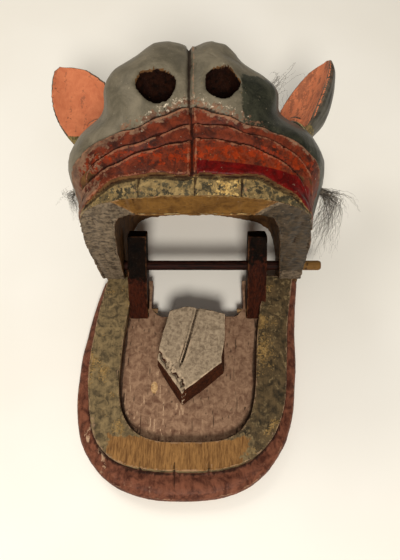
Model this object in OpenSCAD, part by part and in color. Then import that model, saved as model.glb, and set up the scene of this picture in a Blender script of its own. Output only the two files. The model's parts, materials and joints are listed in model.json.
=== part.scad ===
// Carved wooden animal mask with a hinged lower jaw.
// The jaw lies open on the table, and the head leans back on its rear rim.
// Lengths are in millimetres. The head and the jaw are each drawn with the mouth shut,
// x to the wearer's left, y backwards from the hinge rod, z upwards, and the head is
// then swung open about the rod.

/* [Mouth] */
// Angle between the two bite faces with the jaw laid open
open_angle = 80; // [72:1:81]
// Height of the bite face above the table
bite_height = 32; // [31:0.5:36]
// Height of the hinge rod above the bite face
hinge_above_bite = 15; // [15:0.5:17]

/* [Hinge rod] */
// Diameter of the hinge rod
rod_d = 10.5; // [8:0.5:11]
// How far the rod stands out of the cheek on its long side
rod_proud = 19; // [5:1:25]
// Radial clearance round the rod
rod_clearance = 0.06; // [0.02:0.01:0.1]

/* [Jaw] */
// Length of the lower lip in front of the rod
lip_len = 224; // [218:1:230]
// Half the width of the lower lip
lip_half_w = 107; // [103:1:110]
// Length of the gum in front of the rod
gum_len = 200; // [195:1:205]
// Half the width of the gum
gum_half_w = 96; // [93:1:99]
// Width of the gum band
gum_band = 29; // [26:1:30]
// Height of the lip's inner edge, where the gum rises from it
lip_height = 20; // [17:1:23]
// Height of the mouth floor
floor_height = 18; // [15:1:19]
// How far the back of the jaw is swept to its right
jaw_sweep = 17; // [0:1:18]

/* [Jaw posts] */
// Thickness of each post
post_w = 19; // [16:1:20]
// Depth of each post, front to back
post_depth = 27; // [24:1:30]
// Angle that the posts lean back from upright
post_lean = 43; // [38:1:46]
// How far each post stands beyond the rod
post_beyond = 32; // [24:1:34]

/* [Head] */
// Radius of the nostrils
nostril_r = 15; // [10:0.5:15]
// How far the head sits to its right of the jaw
head_shift = 6; // [0:1:7]
// Sideways lean of the head, in mm for each mm of length
head_lean = 0.03; // [0:0.005:0.04]
// Radius of the tie holes for the wearer's cord
tie_hole_r = 2.5; // [2:0.5:4]

/* [Ears] */
// Length of each ear
ear_len = 106; // [90:1:112]
// Half the greatest width of an ear
ear_half_w = 32; // [26:1:34]
// Half the width of an ear where it leaves the head
ear_base_half_w = 17; // [14:1:20]
// Depth of the hollow in the ear's face
ear_cup = 13; // [6:1:15]
// How far the ear's back swells out
ear_back = 9; // [4:1:11]

/* [Tongue] */
// Thickness of the tongue
tongue_h = 26; // [20:1:28]
// Width of the tongue at its root
tongue_root_w = 57; // [50:1:60]

/* [Hidden] */

hinge_height = bite_height + hinge_above_bite;
rod_r = rod_d / 2;
bore_r = rod_r + rod_clearance;
bite_gap = 0.3; // between the bite faces with the mouth shut
stop_gap = 0.6; // between the cheeks and the jaw's end with the mouth open
jaw_back = -3; // the jaw's end, measured back from the rod
// Middle of the model's box, seen from above, measured from the hinge axis
origin_x = 4.2;
origin_y = -21.3;
smooth = 3; // points added between two hand-set points of a carved surface
side_fn = 48;

// Half profiles of the head, from the bite face up to the crown: [y, [[x, z], ...]].
HEAD = [
    [-205, [[22, 0], [26, 12], [31, 24], [33, 40], [31, 58], [24, 74], [12, 84], [0, 82]]],
    [-201, [[46, 0], [49, 14], [55, 25], [57, 44], [53, 68], [43, 90], [24, 104], [0, 101]]],
    [-193, [[65, 0], [67, 16], [73, 28], [74, 48], [66, 76], [57, 102], [34, 124], [0, 121]]],
    [-183, [[78, 0], [79, 18], [85, 31], [86, 52], [74, 80], [62, 108], [36, 138], [0, 137]]],
    [-168, [[86, 0], [87, 19], [93, 34], [96, 55], [82, 82], [67, 110], [37, 145], [0, 148]]],
    [-146, [[91, 0], [92, 20], [98, 35], [103, 58], [93, 83], [74, 110], [43, 142], [0, 147]]],
    [-116, [[94, 0], [95, 20], [101, 36], [107, 60], [101, 86], [84, 112], [48, 133], [0, 138]]],
    [-78, [[97, 0], [98, 20], [103, 36], [108, 60], [106, 90], [93, 120], [54, 140], [0, 145]]],
    [-28, [[99, 0], [100, 20], [104, 34], [107, 60], [105, 90], [91, 119], [54, 138], [0, 143]]],
    [22, [[100, 0], [101, 20], [104, 34], [105, 58], [102, 84], [87, 108], [52, 124], [0, 129]]],
    [90, [[98, 0], [99, 20], [101, 34], [101, 56], [96, 76], [80, 94], [48, 106], [0, 110]]]
];
// Half profiles of the hollow behind the upper gum, set out in the same way.
HOLLOW = [
    [-172, [[44, -6], [44, 4], [40, 9], [24, 12], [0, 12]]],
    [-166, [[57, -6], [57, 12], [53, 26], [34, 36], [0, 38]]],
    [-154, [[62, -6], [62, 20], [58, 46], [40, 62], [0, 66]]],
    [-133, [[66, -6], [66, 30], [62, 62], [44, 84], [0, 92]]],
    [-98, [[70, -6], [71, 34], [68, 72], [50, 94], [0, 104]]],
    [-48, [[74, -6], [76, 36], [74, 76], [56, 102], [0, 114]]],
    [2, [[78, -6], [79, 36], [77, 74], [60, 96], [0, 106]]],
    [90, [[80, -6], [81, 36], [79, 66], [63, 84], [0, 92]]]
];
ceiling_tilt = 0.05; // the hollow is a little lower on its right

post_x = [-54, 66];
nostril_at = [[-26, 94.5], [22, 97]]; // each nostril's middle on the snout's end: across and up
eye_at = [88, -98, 108];
eye_r = 13;
eye_turn = 52; // the eye looks this far out from straight up
ear_at = [[-89, -56, 114], [84, -56, 115]];
ear_lean = [-26, 23]; // how far each ear leans outwards
cheek_plug_at = [104, -82, 60];
crown_plug_at = [40, -44, 134];
plug_r = 5;
tenon_r = 9;
ear_socket = 8; // how far the ear's tenon goes in below its foot
ear_peg_len = 19.8;

function lerp(a, b, t) = a + (b - a) * t;

// One point of a smooth curve through p1 and p2, a share t of the way along.
function curve_point(p0, p1, p2, p3, t) =
    0.5 * (2 * p1 + (p2 - p0) * t + (2 * p0 - 5 * p1 + 4 * p2 - p3) * t * t
           + (3 * p1 - p0 - 3 * p2 + p3) * t * t * t);

// A smooth curve through all the points of a list, with n steps between neighbours.
function smooth_curve(p, n) =
    let (last = len(p) - 1)
    [
        for (i = [0:last - 1])
            let (before = p[max(i - 1, 0)], after = p[min(i + 2, last)])
            for (k = [0:n - 1]) curve_point(before, p[i], p[i + 1], after, k / n),
        p[last]
    ];

// The k-th hand-set line that runs front to back along a table of half profiles.
function long_line(table, k) = [for (s = table) [s[1][k][0], s[0], s[1][k][1]]];

// Every section of a carved surface: smooth front to back, then smooth round the arch.
function sections(table, n_long, n_round, lean, tilt) =
    let (lines = [for (k = [0:len(table[0][1]) - 1]) smooth_curve(long_line(table, k), n_long)])
    [
        for (i = [0:len(lines[0]) - 1])
            let (half = smooth_curve([for (l = lines) l[i]], n_round))
            whole_arch(half, lean, tilt)
    ];

function whole_arch(half, lean, tilt) =
    let (last = len(half) - 1)
    [
        for (p = half) leaned([-p[0], p[1], p[2]], lean, tilt),
        for (k = [last - 1:-1:0]) leaned(half[k], lean, tilt)
    ];

function leaned(p, lean, tilt) =
    [p[0] + head_shift + lean * (p[1] + 138), p[1], p[2] - (p[2] > 0 ? tilt * p[0] : 0)];

function middle(ring) = [for (k = [0:2]) sum(ring, k) / len(ring)];
function sum(ring, k, i = 0) = i < len(ring) ? ring[i][k] + sum(ring, k, i + 1) : 0;

// A closed solid through a row of rings that have the same number of points.
module loft(rings) {
    n = len(rings[0]);
    rows = len(rings);
    points = [for (r = rings) for (p = r) p, middle(rings[0]), middle(rings[rows - 1])];
    first = rows * n;
    sides = [
        for (i = [0:rows - 2]) for (k = [0:n - 1])
            let (a = i * n + k, b = i * n + (k + 1) % n)
            each [[a, b, b + n], [a, b + n, a + n]]
    ];
    front = [for (k = [0:n - 1]) [first, (k + 1) % n, k]];
    back = [for (k = [0:n - 1]) [first + 1, (rows - 1) * n + k, (rows - 1) * n + (k + 1) % n]];
    polyhedron(points = points, faces = [for (f = concat(sides, front, back)) [f[0], f[2], f[1]]]);
}

// Half the width of a U-shaped outline at y: straight at the back, rounded at the front.
function u_half(y, half_w, front, square, flare) =
    let (turn = -88, u = (y - turn) / (front - turn))
    y > turn ? half_w + flare * (y - turn) / -turn
             : half_w * pow(max(1 - pow(u, square), 0), 1 / square);

// A U-shaped outline filled in, from its back left corner round the front.
function u_outline(half_w, front, square, flare, back, steps = 26) =
    let (
        ys = [for (k = [0:steps]) lerp(back, front, sin(90 * k / steps))],
        left = [for (y = ys) [-u_half(y, half_w, front, square, flare), y]],
        right = [for (k = [steps - 1:-1:0]) [-left[k][0], left[k][1]]]
    )
    [for (p = concat(left, right)) [p[0] + jaw_middle(p[1]), p[1]]];

// The jaw's middle line: straight in front, and swept to its right at the back.
function jaw_middle(y) = -3.5 + jaw_sweep * pow(max(y + 127, 0) / 140, 2);

function ring_at(outline, z) = [for (p = outline) [p[0], p[1], z]];

function mirrored_x(side, p) = [side * p[0] + head_shift + head_lean * (p[1] + 138), p[1], p[2]];

// Moves what is drawn with the mouth shut to where it is with the mouth open.
module in_rest_frame() {
    translate([-origin_x, -origin_y, 0]) children();
}

module on_jaw() {
    in_rest_frame() translate([0, 0, bite_height]) children();
}

module on_head() {
    in_rest_frame() translate([0, 0, hinge_height])
        rotate([-open_angle, 0, 0])
            translate([0, 0, -hinge_above_bite]) children();
}

module head_outside() {
    loft(sections(HEAD, smooth, smooth, head_lean, 0));
}

module head_hollow() {
    loft(sections(HOLLOW, 2, 2, head_lean, ceiling_tilt));
}

// The flat back of the head, where it stands on the table with the mouth open.
module below_table() {
    on_table = 300;
    translate([0, 0, hinge_above_bite]) rotate([open_angle, 0, 0])
        translate([-on_table, -on_table, -hinge_height - on_table])
            cube([2 * on_table, 2 * on_table, on_table]);
}

// Rounds the cheek's end about the rod, and stops the cheek just behind the jaw's end.
module cheek_relief() {
    reach = 300;
    translate([0, 0, hinge_above_bite]) difference() {
        intersection() {
            translate([-reach, 0, -reach]) cube([2 * reach, reach, reach]);
            rotate([open_angle, 0, 0]) translate([-reach, jaw_back + stop_gap - reach, -reach])
                cube([2 * reach, reach, 2 * reach]);
        }
        rotate([0, 90, 0]) translate([0, 0, -reach])
            cylinder(r = hinge_above_bite - bite_gap - 0.05, h = 2 * reach, $fn = side_fn);
    }
}

// Keeps the two bite faces a hair apart with the mouth shut.
module bite_clearance() {
    translate([-200, -300, -50 + bite_gap]) cube([400, 300, 50]);
}

module nostril(at) {
    translate(mirrored_x(1, [at[0], -222, at[1]])) rotate([-104, 0, 0])
        cylinder(r = nostril_r, h = 88, $fn = side_fn);
}

module rod_bore() {
    rotate([0, 90, 0]) translate([-hinge_above_bite, 0, -150])
        cylinder(r = bore_r, h = 300, $fn = side_fn);
}

module tie_hole(side) {
    translate([side > 0 ? 70 : -130, 38, 62]) rotate([0, 90, 0])
        cylinder(r = tie_hole_r, h = 80, $fn = side_fn);
}

module at_eye(side) {
    translate(mirrored_x(side, eye_at)) rotate([0, side * eye_turn, 0]) children();
}

module at_ear(side) {
    i = side < 0 ? 0 : 1;
    translate(mirrored_x(1, ear_at[i])) rotate([4, ear_lean[i], 0]) children();
}

module at_cheek_plug(side) {
    translate(mirrored_x(side, cheek_plug_at)) rotate([0, side * 90, 0]) children();
}

module at_crown_plug() {
    translate(crown_plug_at) rotate([0, 14, 0]) children();
}

module head_shell() {
    color([0.33, 0.16, 0.11])
    on_head() difference() {
        union() {
            head_outside();
            for (side = [-1, 1]) at_eye(side) translate([0, 0, -10]) sphere(r = 19, $fn = side_fn);
        }
        head_hollow();
        below_table();
        cheek_relief();
        bite_clearance();
        rod_bore();
        for (at = nostril_at) nostril(at);
        for (side = [-1, 1]) {
            tie_hole(side);
            at_eye(side) cylinder(r = eye_r, h = 30, $fn = side_fn);
            at_ear(side) translate([0, 0, -ear_socket]) cylinder(r = tenon_r, h = 60, $fn = side_fn);
            ear_peg_hole(side);
            at_cheek_plug(side) translate([0, 0, -9]) cylinder(r = plug_r, h = 40, $fn = side_fn);
        }
        at_crown_plug() translate([0, 0, -9]) cylinder(r = plug_r, h = 40, $fn = side_fn);
    }
}

// A domed eye on a short round stem.
module eye(side) {
    dome_h = 7;
    dome_r = (eye_r * eye_r + dome_h * dome_h) / (2 * dome_h);
    color([0.76, 0.6, 0.2])
    on_head() at_eye(side) rotate_extrude($fn = side_fn) difference() {
        union() {
            square([eye_r - 0.05, 3]);
            intersection() {
                translate([0, 3 + dome_h - dome_r]) circle(r = dome_r, $fn = side_fn);
                square([eye_r - 0.05, 30]);
            }
        }
        translate([-30, -30]) square([30, 60]);
    }
}

// Half the width of an ear a share t of the way to its tip.
function ear_half(t) =
    sqrt(1 - pow(t, 5)) * (ear_base_half_w + (ear_half_w - ear_base_half_w) * sin(180 * pow(t, 0.8)));

function ear_ring(t, twist, points = 20) =
    let (half = max(ear_half(t), 0.6), thick = lerp(15, 5, t), cup = ear_cup * sin(min(180 * t, 90)))
    [
        for (k = [0:points - 1])
            let (a = 360 * k / points, u = cos(a), x = half * u - 5 * t * t,
                 swell = sin(a) > 0 ? ear_back * sin(180 * pow(t, 0.7)) * (1 - u * u) : 0,
                 y = 0.5 * thick * sin(a) + swell - cup * (half / ear_half_w) * (u * u - 0.5))
            [x * cos(twist) - y * sin(twist), x * sin(twist) + y * cos(twist), ear_len * t]
    ];

// A leaf-shaped ear, hollowed on its face, with a round tenon that the head holds.
module ear(side, twist) {
    rings = [for (k = [0:16]) ear_ring(k / 16, twist)];
    color([0.72, 0.3, 0.18])
    on_head() difference() {
        at_ear(side) union() {
            translate([0, 0, -ear_socket + 0.1]) cylinder(r = tenon_r - 0.05, h = 40, $fn = side_fn);
            mirror([side > 0 ? 1 : 0, 0, 0]) loft(rings);
        }
        head_outside_skin(side);
        ear_peg_hole(side);
    }
}

// The head just under an ear, so that the ear's foot fits its curve and its tenon stays whole.
module head_outside_skin(side) {
    difference() {
        head_outside();
        at_ear(side) translate([0, 0, -20]) cylinder(r = tenon_r, h = 80, $fn = side_fn);
    }
}

// A dowel's line across the ear's tenon, with both ends in the head's wall.
module ear_peg_line(side, r, length) {
    at_ear(side) translate([0, length / 2, 3]) rotate([90, 0, 0]) cylinder(r = r, h = length, $fn = 24);
}

module ear_peg_hole(side) {
    ear_peg_line(side, 2.5, ear_peg_len + 0.2);
}

module ear_peg(side) {
    color([0.5, 0.36, 0.2]) on_head() ear_peg_line(side, 2.45, ear_peg_len);
}

module hinge_rod() {
    left_end = -90;
    right_end = 112 + rod_proud;
    color([0.3, 0.18, 0.1])
    in_rest_frame() translate([left_end, 0, hinge_height]) rotate([0, 90, 0])
        cylinder(r = rod_r, h = right_end - left_end, $fn = side_fn);
}

// The lower lip, as a stack of outlines that swell out and draw in again.
module lip_block() {
    function swelled(inset, z) =
        ring_at(u_outline(lip_half_w - inset, -lip_len + inset, 2.5, -5, jaw_back), z);
    loft([
        swelled(13, 0), swelled(6, 2), swelled(1.5, 6), swelled(0, 11),
        swelled(1.5, 15.5), swelled(6, 19), swelled(10, lip_height)
    ]);
}

module gum_block() {
    linear_extrude(bite_height - 8) polygon(u_outline(gum_half_w, -gum_len, 2.8, -1, jaw_back - 0.5));
}

module mouth_recess() {
    linear_extrude(60) polygon(u_outline(gum_half_w - gum_band - 1, -gum_len + gum_band - 3, 3.5, 1, 20));
}

// The gap at the back of the mouth floor, with rounded corners.
module throat_notch() {
    corner = 14;
    half_w = 47;
    middle_x = 6;
    translate([middle_x, 0, -5]) linear_extrude(60) union() {
        translate([-half_w, -44 + corner]) square([2 * half_w, 60]);
        translate([-half_w + corner, -44]) square([2 * (half_w - corner), 60]);
        for (side = [-1, 1]) translate([side * (half_w - corner), -44 + corner])
            circle(r = corner, $fn = side_fn);
    }
}

module jaw_board() {
    color([0.42, 0.24, 0.18])
    in_rest_frame() difference() {
        union() {
            lip_block();
            translate([0, 0, 8]) gum_block();
        }
        translate([0, 0, floor_height]) mouth_recess();
        throat_notch();
        for (i = [0, 1]) {
            post_block(i, 10);
            post_peg_line(i, 2.5);
        }
        translate([0, 0, floor_height - 10]) tongue_peg_lines(2.5, 11);
    }
}

// A post's own frame: its origin is on the rod's axis and z runs up along the post.
module at_post(i) {
    translate([post_x[i], 0, hinge_height]) rotate([-post_lean, 0, 0]) children();
}

// A leaning block whose foot stands in the mouth floor and whose top is this far past the rod.
module post_block(i, beyond) {
    seat = 8;
    foot = 80;
    difference() {
        at_post(i) translate([-post_w / 2, -post_depth / 2, -foot])
            cube([post_w, post_depth, foot + beyond]);
        translate([-200, -200, -200]) cube([400, 400, 200 + floor_height - seat]);
    }
}

module jaw_post(i) {
    color([0.27, 0.15, 0.08])
    in_rest_frame() difference() {
        post_block(i, post_beyond);
        translate([post_x[i] - 50, 0, hinge_height]) rotate([0, 90, 0])
            cylinder(r = bore_r, h = 100, $fn = side_fn);
        post_peg_line(i, 2.5);
    }
}

// The line of the peg that pins a post's foot, from the throat into the gum.
module post_peg_line(i, r) {
    side = i == 0 ? -1 : 1;
    translate([6 + side * 41, -36, floor_height - 4]) rotate([0, side * 90, 0])
        cylinder(r = r, h = 44, $fn = 24);
}

module post_peg(i) {
    color([0.2, 0.12, 0.08]) in_rest_frame() post_peg_line(i, 2.45);
}

// The tongue's outline from above: a blunt root, straight sides and an off-centre point.
TONGUE = [
    [-0.46, 0], [-0.16, 6], [0.14, 4], [0.5, 0], [0.54, -52], [-0.13, -86], [-0.6, -50], [-0.54, -24]
];

module tongue() {
    root = [5, -50];
    color([0.45, 0.38, 0.3])
    in_rest_frame() difference() {
        translate([root[0], root[1], floor_height]) rotate([0, 0, -4])
            linear_extrude(tongue_h) polygon([for (p = TONGUE) [p[0] * tongue_root_w, p[1]]]);
        translate([root[0], root[1], floor_height + tongue_h]) rotate([0, 0, -14])
            translate([0, 20, -3.5]) rotate([90, 0, 0])
                linear_extrude(76) polygon([[-2.5, 6], [2.5, 6], [0, 0]]);
        translate([0, 0, floor_height]) tongue_peg_lines(2.5, 12);
    }
}

module tongue_peg_lines(r, h) {
    for (y = [-72, -106]) translate([2, y, 0]) cylinder(r = r, h = h, $fn = 24);
}

// Two dowels that hold the tongue down on the mouth floor.
module tongue_pegs() {
    color([0.5, 0.36, 0.2])
    in_rest_frame() translate([0, 0, floor_height - 9.5]) tongue_peg_lines(2.45, 21);
}

// A wooden plug that wedges the root of a hair tuft.
module plug(length) {
    translate([0, 0, -8.9]) cylinder(r = plug_r - 0.05, h = length, $fn = 24);
}

module cheek_plug(side) {
    color([0.25, 0.17, 0.12]) on_head() at_cheek_plug(side) plug(13.5);
}

module crown_plug() {
    color([0.25, 0.17, 0.12]) on_head() at_crown_plug() plug(16);
}

// A hair tuft as one closed solid: balls of the given [x, y, z, r], each joined to the next.
module tuft(balls) {
    color([0.2, 0.16, 0.13]) on_head()
        for (k = [0:len(balls) - 2]) hull() {
            for (b = [balls[k], balls[k + 1]]) translate([b[0], b[1], b[2]]) sphere(r = b[3], $fn = 16);
        }
}

module cheek_tuft_right() {
    tuft([[122, -82, 60, 6], [131, -78, 50, 10], [136, -60, 26, 11], [131, -30, 6, 7]]);
}

module cheek_tuft_left() {
    tuft([[-106, -82, 60, 5], [-111, -76, 68, 8], [-113, -60, 50, 5]]);
}

module crown_tuft() {
    tuft([[42, -44, 150, 7], [58, -46, 168, 11], [78, -52, 184, 9], [88, -56, 192, 5]]);
}

head_shell();
eye(-1);  // eye_left
eye(1);  // eye_right
ear(-1, 0);  // ear_left
ear(1, 56);  // ear_right
ear_peg(-1);  // ear_peg_left
ear_peg(1);  // ear_peg_right
hinge_rod();
jaw_board();
jaw_post(0);  // jaw_post_left
jaw_post(1);  // jaw_post_right
post_peg(0);  // post_peg_left
post_peg(1);  // post_peg_right
tongue();
tongue_pegs();
cheek_plug(-1);  // cheek_plug_left
cheek_plug(1);  // cheek_plug_right
crown_plug();
cheek_tuft_left();
cheek_tuft_right();
crown_tuft();
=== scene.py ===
"""The looks of a carved wooden animal mask with a hinged lower jaw.

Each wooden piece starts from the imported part's own shape, is turned into an even skin of small
faces, and is then carved, chipped and painted by formula. Hair is grown strand by strand.
"""

import json
import logging
import math
from dataclasses import dataclass, field
from enum import Enum
from typing import Sequence

import bpy
import numpy as np
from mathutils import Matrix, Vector


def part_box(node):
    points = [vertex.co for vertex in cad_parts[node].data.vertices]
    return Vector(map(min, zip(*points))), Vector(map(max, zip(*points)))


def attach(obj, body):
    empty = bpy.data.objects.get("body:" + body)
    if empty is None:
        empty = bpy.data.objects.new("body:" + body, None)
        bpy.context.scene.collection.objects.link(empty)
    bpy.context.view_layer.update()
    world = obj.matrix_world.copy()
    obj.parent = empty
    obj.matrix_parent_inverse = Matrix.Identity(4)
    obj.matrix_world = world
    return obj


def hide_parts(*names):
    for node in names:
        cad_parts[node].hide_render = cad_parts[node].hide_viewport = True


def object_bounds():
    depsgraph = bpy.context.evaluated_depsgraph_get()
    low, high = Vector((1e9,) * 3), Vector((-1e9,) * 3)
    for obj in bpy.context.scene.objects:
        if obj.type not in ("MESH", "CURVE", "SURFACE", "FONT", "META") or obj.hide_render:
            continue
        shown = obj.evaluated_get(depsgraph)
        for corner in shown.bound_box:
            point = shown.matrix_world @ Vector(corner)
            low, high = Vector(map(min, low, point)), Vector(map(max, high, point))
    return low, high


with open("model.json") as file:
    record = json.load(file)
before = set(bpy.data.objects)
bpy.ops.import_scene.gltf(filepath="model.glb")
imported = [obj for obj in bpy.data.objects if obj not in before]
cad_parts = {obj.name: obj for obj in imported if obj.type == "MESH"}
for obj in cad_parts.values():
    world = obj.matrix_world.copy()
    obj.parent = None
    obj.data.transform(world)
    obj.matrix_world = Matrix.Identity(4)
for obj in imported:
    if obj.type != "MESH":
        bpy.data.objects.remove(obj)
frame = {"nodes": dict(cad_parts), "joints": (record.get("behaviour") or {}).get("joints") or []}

LOG = logging.getLogger("mask")
MM = 0.001
Colour = tuple[float, float, float]
Mask = np.ndarray
CAD_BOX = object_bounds()
LATTICE = 4096
SCATTER = (73856093, 19349663, 83492791)


def placed(name: str, data: bpy.types.ID) -> bpy.types.Object:
    """Makes an object and puts it in the scene.

    Args:
        name: The object's name.
        data: Its mesh, curve, lamp or camera.

    Returns:
        The object.
    """
    obj = bpy.data.objects.new(name, data)
    bpy.context.scene.collection.objects.link(obj)
    return obj


def smoothstep(low: float, high: float, value: np.ndarray) -> np.ndarray:
    """Ramps smoothly from 0 to 1.

    Args:
        low: The value where the ramp leaves 0.
        high: The value where it reaches 1.
        value: The values to ramp.

    Returns:
        The ramped values.
    """
    t = np.clip((value - low) / (high - low), 0.0, 1.0)
    return t * t * (3.0 - 2.0 * t)


def bump_at(value: np.ndarray, centre: float | np.ndarray, width: float) -> np.ndarray:
    """A rounded hill of height 1.

    Args:
        value: Where to read the hill.
        centre: The hill's middle.
        width: How wide it is.

    Returns:
        The hill's height at each value.
    """
    return np.exp(-(((value - centre) / width) ** 2))


def tone(red: int, green: int, blue: int) -> Colour:
    """Turns a colour from a paint chart into the renderer's own scale.

    Args:
        red: Red, from 0 to 255.
        green: Green.
        blue: Blue.

    Returns:
        The same colour in linear light.
    """
    parts = (red / 255, green / 255, blue / 255)
    return tuple(c / 12.92 if c < 0.04045 else ((c + 0.055) / 1.055) ** 2.4 for c in parts)


class Noise:
    """Smooth random hills that are the same on each run."""

    def __init__(self, seed: int) -> None:
        """Shuffles the lattice.

        Args:
            seed: Which of the fixed patterns to use.
        """
        self.table = np.random.default_rng(seed).random(LATTICE)

    def _corner(self, cell: np.ndarray) -> np.ndarray:
        """The lattice's own value at whole-number corners."""
        x, y, z = (cell * np.array(SCATTER)).T
        return self.table[np.abs(x ^ y ^ z) % LATTICE]

    def at(self, points: np.ndarray, size: float | Sequence[float], octaves: int = 2) -> np.ndarray:
        """Reads the hills.

        Args:
            points: Places, in millimetres.
            size: How far apart the hills are, or three sizes along x, y and z.
            octaves: How many finer layers are added.

        Returns:
            Heights between about -1 and 1.
        """
        total = np.zeros(len(points))
        weight = 1.0
        scaled = points / np.asarray(size, float)
        for _ in range(octaves):
            cell = np.floor(scaled).astype(np.int64)
            part = scaled - cell
            part = part * part * (3.0 - 2.0 * part)
            layer = np.zeros(len(points))
            for dx in (0, 1):
                for dy in (0, 1):
                    for dz in (0, 1):
                        share = np.abs(1 - dx - part[:, 0]) * np.abs(1 - dy - part[:, 1])
                        share = share * np.abs(1 - dz - part[:, 2])
                        layer += share * self._corner(cell + np.array([dx, dy, dz]))
            total += weight * (layer * 2.0 - 1.0)
            weight *= 0.5
            scaled = scaled * 2.03 + 17.7
        return total / 1.5


class Pose(Enum):
    """Which way a piece's own carving axes lie."""

    HEAD = "turned up with the head"
    JAW = "lying on the table"


@dataclass(frozen=True)
class Bench:
    """The carver's axes for a piece, in millimetres from the hinge, with the mouth shut.

    The rod is at the origin, x runs across, y from the snout backwards and z upwards.
    """

    pose: Pose

    @property
    def angle(self) -> float:
        """How far the piece is swung open from there, in radians."""
        swing = -frame["joints"][0]["range_deg"][0]
        return math.radians(swing) if self.pose is Pose.HEAD else 0.0

    @property
    def hinge(self) -> np.ndarray:
        """The hinge's place in the part, in millimetres."""
        return np.array(frame["joints"][0]["pos_m"]) / MM

    def from_part(self, points: np.ndarray) -> np.ndarray:
        """Turns metres in the part's frame into millimetres on the bench.

        Args:
            points: Places in the part, in metres.

        Returns:
            The same places on the bench.
        """
        rel = np.asarray(points) / MM - self.hinge
        return self.turned(rel, -1.0)

    def to_part(self, points: np.ndarray) -> np.ndarray:
        """Turns millimetres on the bench into metres in the part's frame.

        Args:
            points: Places on the bench.

        Returns:
            The same places in the part.
        """
        return (self.turned(np.asarray(points, float), 1.0) + self.hinge) * MM

    def turned(self, vectors: np.ndarray, way: float) -> np.ndarray:
        """Swings vectors with the head.

        Args:
            vectors: Directions or places from the hinge.
            way: 1 from the bench to the part, -1 from the part to the bench.

        Returns:
            The swung vectors.
        """
        c, s = math.cos(self.angle), math.sin(self.angle) * way
        x, y, z = vectors[..., 0], vectors[..., 1], vectors[..., 2]
        return np.stack([x, c * y + s * z, -s * y + c * z], axis=-1)


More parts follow.
